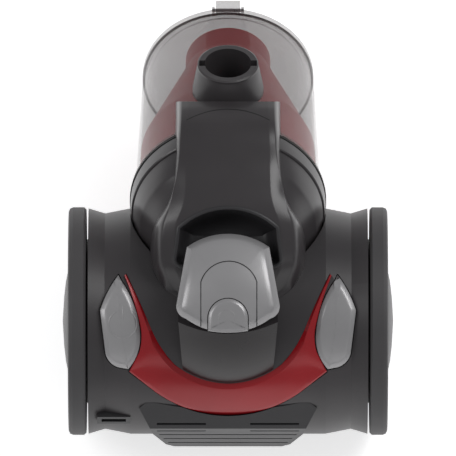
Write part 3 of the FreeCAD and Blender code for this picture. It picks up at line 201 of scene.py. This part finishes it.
# ---- mesh helpers -------------------------------------------------------------------------------
def through(keys, at):
    """Smooth curve through (position, value) keys whose positions run upwards."""
    if at <= keys[0][0]:
        return keys[0][1]
    if at >= keys[-1][0]:
        return keys[-1][1]
    i = max(k for k in range(len(keys) - 1) if keys[k][0] <= at)

    def slope(k):
        low, high = max(k - 1, 0), min(k + 1, len(keys) - 1)
        return (keys[high][1] - keys[low][1]) / (keys[high][0] - keys[low][0])

    span = keys[i + 1][0] - keys[i][0]
    t = (at - keys[i][0]) / span
    rise = keys[i + 1][1] - keys[i][1]
    start, end = slope(i) * span, slope(i + 1) * span
    return (keys[i][1] + start * t + (3 * rise - 2 * start - end) * t * t
            + (start + end - 2 * rise) * t ** 3)


def spread(low, high, count):
    return [low + (high - low) * i / (count - 1) for i in range(count)]


def round_angles(count):
    return [2 * math.pi * k / count for k in range(count)]


def into_scene(name, data):
    item = bpy.data.objects.new(name, data)
    bpy.context.scene.collection.objects.link(item)
    return item


def skin_mesh(name, points, faces, weld):
    """Mesh whose faces all look outwards; weld joins points that lie together."""
    mesh = bpy.data.meshes.new(name)
    mesh.from_pydata([tuple(p) for p in points], [], faces)
    work = bmesh.new()
    work.from_mesh(mesh)
    if weld:
        bmesh.ops.remove_doubles(work, verts=work.verts, dist=1e-6)
    bmesh.ops.recalc_face_normals(work, faces=work.faces)
    work.to_mesh(mesh)
    work.free()
    return mesh


def piece(name, points, faces, body, slot, sharp=32.0, stands_for=(), finish=None):
    """Closed mesh from points in the model's frame, shaded smooth up to a sharp angle."""
    mesh = skin_mesh(name, points, faces, weld=True)
    mesh.polygons.foreach_set("use_smooth", [True] * len(mesh.polygons))
    mesh.set_sharp_from_angle(angle=math.radians(sharp))
    mesh.materials.append(finish or FINISH[slot])
    item = into_scene(name, mesh)
    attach(item, body)
    if stands_for:
        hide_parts(*stands_for)
    return item


def cut(item, tool, sharp=24.0):
    """Takes the tool's space out of a piece, and the tool out of the scene."""
    change = item.modifiers.new("cut", "BOOLEAN")
    change.operation = "DIFFERENCE"
    change.solver = "EXACT"
    change.object = tool
    graph = bpy.context.evaluated_depsgraph_get()
    mesh = bpy.data.meshes.new_from_object(item.evaluated_get(graph))
    item.modifiers.clear()
    item.data = mesh
    bpy.data.objects.remove(tool)
    mesh.set_sharp_from_angle(angle=math.radians(sharp))


def rings(loops, capped=True):
    """Points and faces of a skin over closed loops of equal length, with fans at its ends."""
    count = len(loops[0])
    points = [p for loop in loops for p in loop]
    faces = []
    for k in range(len(loops) - 1):
        for i in range(count):
            j = (i + 1) % count
            faces.append((k * count + i, k * count + j, (k + 1) * count + j, (k + 1) * count + i))
    if capped:
        for base in (0, (len(loops) - 1) * count):
            points.append(sum((Vector(p) for p in points[base:base + count]), Vector()) / count)
            faces += [(base + i, base + (i + 1) % count, len(points) - 1) for i in range(count)]
    return points, faces


def deck_block(name, loop, low, high):
    """Cutting tool with straight sides over a loop on the deck's frame."""
    points, faces = rings([[deck(x, u, h) for x, u in loop] for h in (low, high)])
    return into_scene(name, skin_mesh(name, points, faces, weld=False))


def arc_points(a, mid, b, count):
    """Points after a up to b on the circle through three points of a plane."""
    ax, ay = a
    bx, by = mid
    cx, cy = b
    a2, b2, c2 = ax * ax + ay * ay, bx * bx + by * by, cx * cx + cy * cy
    d = 2 * (ax * (by - cy) + bx * (cy - ay) + cx * (ay - by))
    ux = (a2 * (by - cy) + b2 * (cy - ay) + c2 * (ay - by)) / d
    uy = (a2 * (cx - bx) + b2 * (ax - cx) + c2 * (bx - ax)) / d
    radius = math.hypot(ax - ux, ay - uy)
    first, middle, last = (math.atan2(y - uy, x - ux) for x, y in (a, mid, b))
    turn = (last - first) % (2 * math.pi)
    if (middle - first) % (2 * math.pi) > turn:
        turn -= 2 * math.pi
    angles = [first + turn * i / count for i in range(1, count + 1)]
    return [(ux + radius * math.cos(angle), uy + radius * math.sin(angle)) for angle in angles]


def open_path(start, steps, round_parts, straight_parts=4):
    """Points of a path; a step is an end point, or a middle and an end point of an arc."""
    points = [start]
    for step in steps:
        if len(step) == 1:
            (ax, ay), (bx, by) = points[-1], step[0]
            points += [(ax + (bx - ax) * i / straight_parts, ay + (by - ay) * i / straight_parts)
                       for i in range(1, straight_parts + 1)]
        else:
            points += arc_points(points[-1], step[0], step[1], round_parts)
    return points


def outline(start, steps, round_parts):
    """Closed outline with the steps of a path, without the point that closes it."""
    points = open_path(start, steps, round_parts)
    if math.dist(points[0], points[-1]) < 1e-6:
        points.pop()
    return points


def inset(loop, distance):
    """Loop moved inwards; it runs anticlockwise."""
    moved = []
    for i, (x, y) in enumerate(loop):
        px, py = loop[i - 1]
        nx, ny = loop[(i + 1) % len(loop)]
        tx, ty = nx - px, ny - py
        size = math.hypot(tx, ty)
        moved.append((x - distance * ty / size, y + distance * tx / size))
    return moved


def anticlockwise(loop):
    area = sum(loop[i - 1][0] * loop[i][1] - loop[i][0] * loop[i - 1][1] for i in range(len(loop)))
    return loop if area > 0 else loop[::-1]


def pillow(name, loop, surface, profile, body, slot, **more):
    """Raised pad on the deck's frame. profile gives (inset, height over the surface) from its foot up."""
    loop = anticlockwise(loop)
    cx = sum(x for x, _ in loop) / len(loop)
    cu = sum(u for _, u in loop) / len(loop)
    foot_shares = (0.1, 0.4, 0.7)
    top_shares = (0.85, 0.7, 0.55, 0.4, 0.25, 0.1)

    def shrunk(distance, rise, share):
        moved = [(cx + (x - cx) * share, cu + (u - cu) * share) for x, u in inset(loop, distance)]
        return [deck(x, u, surface(x, u) + rise) for x, u in moved]

    loops = [shrunk(*profile[0], share) for share in foot_shares]
    loops += [shrunk(distance, rise, 1.0) for distance, rise in profile]
    loops += [shrunk(*profile[-1], share) for share in top_shares]
    points, faces = rings(loops)
    return piece(name, points, faces, body, slot, **more)


def ribbon(name, path, surface, body, slot, width, height, **more):
    """Thin raised line on the deck's frame along a path of (x, u) points."""
    sunk, shoulder = -0.3, height * 0.7
    section = ((-1, sunk), (-0.8, shoulder), (-0.4, height), (0.4, height), (0.8, shoulder), (1, sunk))
    loops = []
    for i, (x, u) in enumerate(path):
        px, pu = path[max(i - 1, 0)]
        nx, nu = path[min(i + 1, len(path) - 1)]
        size = math.hypot(nx - px, nu - pu)
        sx, su = -(nu - pu) / size * width / 2, (nx - px) / size * width / 2
        line = [(x + across * sx, u + across * su, up) for across, up in section]
        loops.append([deck(rx, ru, surface(rx, ru) + up) for rx, ru, up in line])
    points, faces = rings(loops)
    piece(name, points, faces, body, slot, **more)


# ---- head ---------------------------------------------------------------------------------------
HEAD_R = 88.0
HEAD_DEPTH = 96.0
HEAD_WALL = 3.0
HEAD_RIM = 3.0             # gap between the bin's mouth and the head's rim
HEAD_BACK = -97.2          # the dome's rearmost point
RIDGE_W = 43.0             # step round the dome, behind the bin's mouth
POLE_R = 0.01              # the turned outline ends this near the axis
HEAD_TURNS = 120


def dome_radius(w, inward=0.0):
    """Radius of the head's dome at w, which is negative behind the bin's mouth."""
    share = min(1.0, max(0.0, (-w - HEAD_RIM) / (HEAD_DEPTH - inward)))
    return (HEAD_R - inward) * math.sqrt(1 - share * share)


def make_head():
    """Turned cover: rim, groove and a dome with a step."""
    outside = [(HEAD_R - 0.6, -HEAD_RIM), (HEAD_R, -3.6), (HEAD_R - 0.1, -10.0), (HEAD_R - 0.9, -18.0),
               (HEAD_R - 1.6, -18.8), (HEAD_R - 3.2, -19.2), (HEAD_R - 3.4, -20.6), (HEAD_R - 2.4, -21.4)]
    for w in (-25, -30, -35, -40, -RIDGE_W + 0.6):
        outside.append((dome_radius(w) - 1.0, w))
    for w in (-RIDGE_W - 0.6, -47, -52, -58, -64, -70, -76, -82, -87, -91, -94.5, -96.8):
        step = 1.4 * min(1.0, (-w - RIDGE_W) / 6)
        outside.append((dome_radius(w) * 0.985 - step, w))
    outside.append((POLE_R, HEAD_BACK))
    inside = [(POLE_R, HEAD_BACK + HEAD_WALL)]
    for w in (-92, -84, -74, -62, -48, -34, -21, -10, -3):
        inside.append((dome_radius(w - 1.0, HEAD_WALL + 2.5), w))
    loops = [[in_bin(r * math.sin(angle), r * math.cos(angle), w) for r, w in outside + inside]
             for angle in round_angles(HEAD_TURNS)]
    points, faces = rings(loops + loops[:1], capped=False)
    head = piece("head_shell", points, faces, "dust_unit", "gloss_dark", sharp=24.0,
                 stands_for=["head_cover"])
    cut(head, recess_tool(-0.4))
    cut(head, spine_room())


# ---- spine: duct cover and the cheeks beside the handle -----------------------------------------
# Each table gives (u, value) keys along the spine: the height of its top, the half widths of its
# flat panel, of the panel's edge and of its foot, and the height of its foot.
TOP_H = [(22, 101.0), (36, 111.5), (50, 120.5), (70, 127.0), (88, 129.8), (104, 129.4), (122, 125.2),
         (140, 119.6), (158, 111.0), (177, 101.5), (190, 88.0), (198, 76.8)]
PANEL_HALF = [(22, 35.0), (50, 49.5), (70, 51.0), (88, 47.5), (104, 41.5), (120, 38.9), (158, 38.4),
              (198, 36.0)]
EDGE_HALF = [(22, 42.0), (36, 52.0), (50, 56.0), (70, 57.5), (88, 55.5), (104, 52.0), (117, 49.0),
             (140, 44.2), (158, 41.8), (198, 40.5)]
FOOT_HALF = [(22, 46.8), (30.6, 58.0), (48, 67.6), (60, 69.4), (70.7, 69.7), (88, 66.0), (105.8, 54.9),
             (120, 50.0), (140, 48.4), (165, 47.4), (198, 47.0)]
FOOT_H = [(22, 100.2), (30, 98.2), (48, 90.7), (60, 83.2), (70, 77.0), (80, 79.0), (88, 85.0),
          (104, 95.0), (120, 92.0), (135, 88.0), (158, 82.0), (163, 79.5), (198, 36.3)]
SPINE_FROM, SPINE_TO = 22, 198
CHEEK_END = 117.0
CROWN = 1.8                # how much the panel falls from its middle to its edge
PANEL_SHARES = (0, 0.15, 0.3, 0.45, 0.6, 0.75, 0.88, 0.96, 1.0)
CHEEK_SHARES = (0.06, 0.14, 0.25, 0.38, 0.52, 0.68, 0.84, 1.0)
RECESS = outline((48.6, 58.0),
                 [((45.6, 85.0),), ((0.0, 103.7), (-45.6, 85.0)), ((-48.6, 58.0),),
                  ((-46.5, 50.5), (-40.0, 48.0)), ((40.0, 48.0),), ((46.5, 50.5), (48.6, 58.0))],
                 round_parts=16)


def spine_half(u):
    """Right half of the cross section at u, as (x, h) from the middle of the top to its foot."""
    top = through(TOP_H, u)
    panel = through(PANEL_HALF, u)
    edge = max(through(EDGE_HALF, u), panel + 0.8)
    foot = max(through(FOOT_HALF, u), edge + 1.0)
    foot_h = through(FOOT_H, u)
    half = [(panel * s, top - CROWN * s * s) for s in PANEL_SHARES]
    edge_h = max(top - CROWN - 0.5 * (edge - panel), foot_h + 0.6)
    half.append((edge, edge_h))
    for share in CHEEK_SHARES:
        swing = share * math.pi / 2
        x = edge + (foot - edge) * math.sin(swing)
        half.append((x, edge_h - (edge_h - foot_h) * (1 - math.cos(swing))))
    return half


def over(x, u):
    """Height of the spine's skin."""
    half = spine_half(u)
    at = abs(x)
    for (x0, h0), (x1, h1) in zip(half, half[1:]):
        if x0 <= at <= x1:
            return h0 + (h1 - h0) * (at - x0) / (x1 - x0)
    return half[-1][1]


def spine_room():
    """Room in the head for the spine that crosses it."""
    half, rear, front = 42.0, 30.0, 200.0
    corners = [(-half, rear), (half, rear), (half, front), (-half, front)]
    return deck_block("spine_room", corners, 99.0, 190.0)


def recess_tool(margin):
    """Space of the hand recess, smaller by a margin."""
    return deck_block("recess_tool", inset(anticlockwise(RECESS), margin), 92.0, 180.0)


def port_tool():
    """Round clearance for the hose port's skirt."""
    radius = 31.0
    points, faces = rings([[in_bin(radius * math.sin(a), rise, PORT_W + radius * math.cos(a))
                            for a in round_angles(64)] for rise in (40.0, 130.0)])
    return into_scene("port_tool", skin_mesh("port_tool", points, faces, weld=False))


def make_spine():
    loops = []
    for u in sorted(set(spread(SPINE_FROM, SPINE_TO, 89) + [CHEEK_END - 0.1, CHEEK_END + 0.1])):
        half = spine_half(u)
        foot, foot_h = half[-1]
        ring = [deck(x, u, h) for x, h in half]
        ring += [deck(0.6 * foot, u, foot_h - 0.6), deck(-0.6 * foot, u, foot_h - 0.6)]
        ring += [deck(-x, u, h) for x, h in reversed(half[1:])]
        loops.append(ring)
    points, faces = rings(loops)
    spine = piece("spine_shell", points, faces, "dust_unit", "gloss_dark", sharp=20.0,
                  stands_for=["duct_cover", "left_fairing", "right_fairing"])
    for tool in (recess_tool(0.2), port_tool()):
        cut(spine, tool)


def make_spine_seam():
    """Curved joint line across the front of the spine."""
    start, middle, end = (-37.5, 181.0), (0.0, 191.0), (37.5, 181.0)
    path = [start] + arc_points(start, middle, end, 24)
    ribbon("spine_seam", path, over, "dust_unit", "gloss_dark", width=0.9, height=0.25,
           finish=FINISH["black"])


def make_recess():
    """Black bowl with a raised rim that lines the hand recess."""
    floor_h, floor_u, wall = 101.0, 72, 3.0
    floor_across, floor_along = 0.35, 0.3
    rim = ((-0.5, -6.0), (-0.5, 0.3), (0.2, 1.0), (1.6, 1.3), (2.8, 0.8), (3.4, -0.6))
    side = ((4.6, 0.25), (6.2, 0.5), (8.4, 0.72), (11.5, 0.88), (15.5, 0.97))
    loop = anticlockwise(RECESS)
    count = len(loop)

    def side_ring(distance, share, drop):
        return [deck(x, u, over(x, u) + (floor_h - over(x, u)) * share - drop)
                for x, u in inset(loop, distance)]

    def floor_ring(h):
        return [deck(x * floor_across, floor_u + (u - floor_u) * floor_along, h) for x, u in loop]

    loops = [[deck(x, u, over(x, u) + rise) for x, u in inset(loop, distance)] for distance, rise in rim]
    loops += [side_ring(distance, share, 0.0) for distance, share in side]
    top = len(loops) * count
    low = top + count
    loops += [floor_ring(floor_h), floor_ring(floor_h - wall), side_ring(8.0, 0.9, wall), loops[0]]
    points, faces = rings(loops, capped=False)
    # The floor is closed by a fan on each side, and no wall joins its two rings.
    del faces[top:low]
    points += [deck(0, floor_u, floor_h), deck(0, floor_u, floor_h - wall)]
    for i in range(count):
        j = (i + 1) % count
        faces += [(top + i, top + j, len(points) - 2), (low + i, low + j, len(points) - 1)]
    piece("hand_recess", points, faces, "dust_unit", "grille", sharp=40.0)


# ---- handle -------------------------------------------------------------------------------------
GRIP_LINE = [(-12, 158.6), (0, 159.2), (20, 158.2), (40.3, 154.5), (60, 146.5), (80, 136.0)]
GRIP_HALF = 46.0
GRIP_DROP = 5.0            # how much the grip falls from its middle to its sides
GRIP = outline((37.0, 67.0),
               [((GRIP_HALF, 17.0),), ((45.0, 8.5), (38.0, 3.0)), ((0.0, -9.5), (-38.0, 3.0)),
                ((-45.0, 8.5), (-GRIP_HALF, 17.0)), ((-37.0, 67.0),), ((0.0, 79.0), (37.0, 67.0))],
               round_parts=14)
BUTTON = outline((18.0, -8.0),
                 [((18.0, 3.2),), ((0.0, 21.2), (-18.0, 3.2)), ((-18.0, -8.0),), ((0.0, -9.6), (18.0, -8.0))],
                 round_parts=18)
LEG_FOOT_R = DRUM_R + 0.5


def grip_surface(x, u):
    return through(GRIP_LINE, u) - GRIP_DROP * (x / GRIP_HALF) ** 2


def button_tool():
    """Space for the button in the grip, open at the back."""
    gap, rear, reach = 0.6, -6, 8
    loop = [(x, u if u > rear else u - reach) for x, u in inset(anticlockwise(BUTTON), -gap)]
    return deck_block("button_tool", loop, 110.0, 190.0)


def make_grip():
    profile = [(1.2, -8.5), (0.3, -7.6), (0.0, -6.2), (0.25, -5.0), (4.6, -1.0), (5.4, -0.55), (7.5, -0.1),
               (10.0, 0.0)]
    grip = pillow("grip_pad", GRIP, grip_surface, profile, "dust_unit", "silver", sharp=26.0,
                  stands_for=["grip_cover"])
    cut(grip, button_tool())
    left, right, rear, shoulder = -24.3, 25.8, -4.0, 36.0
    seam = [(left, u) for u in (rear, 10.0, 24.0, shoulder)]
    seam += arc_points((left, shoulder), (0.5, 54.5), (right, shoulder), 28)
    seam += [(right, u) for u in (24.0, 10.0, rear)]
    ribbon("grip_seam", seam, grip_surface, "dust_unit", "silver", width=0.9, height=0.3,
           finish=FINISH["black"])


def leg_loop(t):
    """Outline of the rear leg at t, from its foot on the drum to its top under the grip."""
    half = 40.5 + 4.0 * t
    rear = -55.0 + 44.6 * t ** 1.12
    front = -14.0 + 30.0 * t
    bow = 17.0 - 5.0 * t
    loop = [(half * s, rear + bow * s * s * (half / 48.0) ** 2) for s in spread(-1, 1, 25)]
    corner = loop[-1][1]
    side = [(half, corner + (front - corner) * share) for share in (0.33, 0.66, 1.0)]
    loop += side + [(half * 0.4, front + 2), (-half * 0.4, front + 2)]
    loop += [(-x, u) for x, u in reversed(side)]
    return loop


def make_leg():
    """Black leg behind the hand, and the black core under the grip's skin."""
    under_grip = 8.0
    loops = []
    for t in spread(0, 1, 17):
        ring = []
        for x, u in leg_loop(t):
            foot = math.sqrt(max(LEG_FOOT_R ** 2 - u * u, 0)) + 0.2
            ring.append(deck(x, u, foot + (grip_surface(x, u) - under_grip - foot) * t))
        loops.append(ring)
    points, faces = rings(loops)
    piece("handle_leg", points, faces, "dust_unit", "gloss_dark", sharp=40.0, stands_for=["handle_body"],
          finish=LEG_BLACK)

    def core_surface(x, u):
        return grip_surface(x, u) - 16.0

    core = [(x * 0.9, u) for x, u in inset(anticlockwise(GRIP), 4.0) if u > -2]
    profile = [(6.0, -2.0), (2.0, 0.0), (0.5, 3.0), (0.0, 5.5), (1.0, 8.0)]
    pillow("grip_core", core, core_surface, profile, "dust_unit", "gloss_dark", sharp=50.0, finish=LEG_BLACK)


def make_button():
    """Release button with a plain arch and a bar on it."""
    profile = [(0.5, -4.4), (0.0, -1.0), (0.3, 0.5), (2.6, 2.2), (3.4, 2.3)]
    pillow("release_pad", BUTTON, grip_surface, profile, "release_button", "silver", sharp=30.0,
           stands_for=["release_button"])

    def button_top(x, u):
        return grip_surface(x, u) + 2.2

    left, middle, right = -8.0, -1.0, 6.0
    arch = outline((left, -3.0), [((left, 4.0),), ((middle, 11.0), (right, 4.0)), ((right, -3.0),)],
                   round_parts=10)
    bar = [(left, -5.6), (-2.0, -5.6), (right, -5.6)]
    ribbon("release_mark_arch", arch, button_top, "release_button", "silver", width=1.0, height=0.25)
    ribbon("release_mark_bar", bar, button_top, "release_button", "silver", width=1.0, height=0.25)


make_head()
make_spine()
make_spine_seam()
make_recess()
make_grip()
make_leg()
make_button()


# ---- deck: red trim and pedals ------------------------------------------------------------------
TRIM_INNER = ((91.5, 43.0),
              [((80.3, 19.4), (68.6, -7.7)), ((62.3, -20.0),), ((54.3, -31.6),), ((47.9, -38.6),),
               ((24.6, -51.4), (0.0, -55.8))])
TRIM_OUTER = ((93.2, 41.4),
              [((83.6, 15.0), (78.0, -8.0)), ((77.8, -17.0), (79.6, -27.0)), ((88.8, -44.8),),
               ((64.4, -64.0),), ((33.0, -79.6), (0.0, -84.7))])
TRIM_PARTS = 14
TRIM_R = DRUM_R + 1.5
TRIM_CREASE = 64.8         # the trim falls away outside this
PEDAL = ((98.5, 42.0),
         [((107.5, 28.0), (115.0, 10.0)), ((110.2, -28.4),), ((106.0, -36.5), (96.3, -41.5)),
          ((89.6, -42.8),), ((81.0, -28.0), (79.0, -10.0)), ((82.5, 9.5), (96.0, 37.0))])
PEDAL_R = DRUM_R + 3.0
STEM_X = 99.0
STEM_R = 3.0
MARK_X, MARK_U, MARK_R = -94.5, -2.2, 12.6


def round_deck(radius):
    """Height over the axle of a cylinder about the axle."""
    return lambda x, u: math.sqrt(max(radius * radius - u * u, 1.0))


def mirrored(path):
    """A path that ends on the middle, carried on to the other side."""
    return path + [(-x, u) for x, u in reversed(path[:-1])]


def make_trim():
    inner = mirrored(open_path(*TRIM_INNER, TRIM_PARTS, TRIM_PARTS))
    outer = mirrored(open_path(*TRIM_OUTER, TRIM_PARTS, TRIM_PARTS))
    surface = round_deck(TRIM_R)
    loops = []
    for (ix, iu), (ox, ou) in zip(inner, outer):
        width = math.dist((ix, iu), (ox, ou))
        small = min(1.0, width / 17.0)
        full = width / small
        section = ((0, -3.0), (0, -1.6), (0.7, -1.2), (5.0, 0.75), (6.0, 0.8), (full * 0.5, 0.4),
                   (full - 3.5, 0.0), (full - 1.2, -0.3), (full - 0.3, -0.8), (full, -1.6), (full, -3.0))
        ring = []
        for along, rise in section:
            share = along * small / width
            x, u = ix + (ox - ix) * share, iu + (ou - iu) * share
            fall = 0.06 * max(0.0, abs(x) - TRIM_CREASE) if rise > -1.5 else 0.0
            ring.append(deck(x, u, surface(x, u) + rise - min(fall, 0.7)))
        loops.append(ring)
    points, faces = rings(loops)
    piece("smile_trim", points, faces, "root", "red", sharp=14.0, stands_for=["deck_trim"])


def make_pedals():
    """Both pedals on their stems, and the power mark on the left one."""
    surface = round_deck(PEDAL_R)
    profile = [(0.6, -9.0), (0.0, -8.0), (0.0, -3.0), (0.3, -2.4), (3.4, -0.35), (4.3, -0.1), (6.0, 0.0)]
    for side, name in ((-1, "power_pedal"), (1, "rewind_pedal")):
        loop = [(side * x, u) for x, u in outline(*PEDAL, round_parts=12)]
        pillow(name + "_pad", loop, surface, profile, name, "silver", sharp=18.0, stands_for=[name])
        stem = [[deck(side * STEM_X + STEM_R * math.cos(a), STEM_R * math.sin(a), h)
                 for a in round_angles(24)] for h in (84.0, 84.4, 90.0, 97.0)]
        points, faces = rings(stem)
        piece(name + "_stem", points, faces, name, "silver")
    ring = [(MARK_X + MARK_R * math.sin(a), MARK_U + MARK_R * math.cos(a))
            for a in spread(math.radians(28), math.radians(332), 40)]
    bar = [(MARK_X, u) for u in (2.5, 6.0, 10.0, 13.5)]
    ribbon("power_mark_ring", ring, surface, "power_pedal", "silver", width=1.1, height=0.3)
    ribbon("power_mark_bar", bar, surface, "power_pedal", "silver", width=1.1, height=0.3)


make_trim()
make_pedals()


# ---- stage, light and camera --------------------------------------------------------------------
VIEW_WIDTH = 410.4         # what the camera shows across, in mm
LENS = 1200.0
SENSOR = 36.0
AIM_U = 84.15              # what the camera is centred on, forward of the axle
AIM_H = 70.0               # and over it


def make_floor():
    size = 30.0
    mesh = bpy.data.meshes.new("floor")
    corners = [(-size, -size, 0), (size, -size, 0), (size, size, 0), (-size, size, 0)]
    mesh.from_pydata(corners, [], [(0, 1, 2, 3)])
    floor = into_scene("floor", mesh)
    material, nodes, links, shader = new_material("floor_paper")
    place = mottle(nodes, links, shader, (0.93, 0.93, 0.93), (0.95, 0.95, 0.95), 3.0)
    grain(nodes, links, shader, place, 300.0, 0.05)
    set_inputs(shader, Roughness=0.9, Emission_Color=(1.0, 1.0, 1.0, 1.0), Emission_Strength=0.6)
    mesh.materials.append(material)


def area_light(name, where, aim, width, height, power):
    data = bpy.data.lights.new(name, "AREA")
    data.shape = "RECTANGLE"
    data.size = width
    data.size_y = height
    data.energy = power
    light = into_scene(name, data)
    light.location = where
    light.rotation_euler = (Vector(aim) - Vector(where)).to_track_quat("-Z", "Y").to_euler()
    light.visible_camera = False


def make_light():
    world = bpy.data.worlds.new("studio")
    world.use_nodes = True
    set_inputs(world.node_tree.nodes["Background"], Color=(0.97, 0.98, 1.0, 1), Strength=0.36)
    bpy.context.scene.world = world
    centre = (0, 0.02, 0.15)
    area_light("key", (1.1, 0.5, 1.7), centre, 0.9, 0.9, 15)
    area_light("fill", (-1.3, -0.1, 1.5), centre, 0.5, 1.2, 8)
    area_light("back", (0.1, -1.5, 0.9), centre, 1.6, 0.35, 1.5)


def make_camera():
    data = bpy.data.cameras.new("camera")
    data.lens = LENS
    data.sensor_width = SENSOR
    camera = into_scene("camera", data)
    distance = VIEW_WIDTH * MM * LENS / SENSOR
    camera.location = deck(0, AIM_U, AIM_H) + DECK_H * distance
    camera.rotation_mode = "QUATERNION"
    camera.rotation_quaternion = (-DECK_H).to_track_quat("-Z", "Y")
    data.clip_start = 0.1
    data.clip_end = 4 * distance
    bpy.context.scene.camera = camera


make_floor()
make_light()
make_camera()
bpy.context.scene.view_settings.view_transform = "Standard"
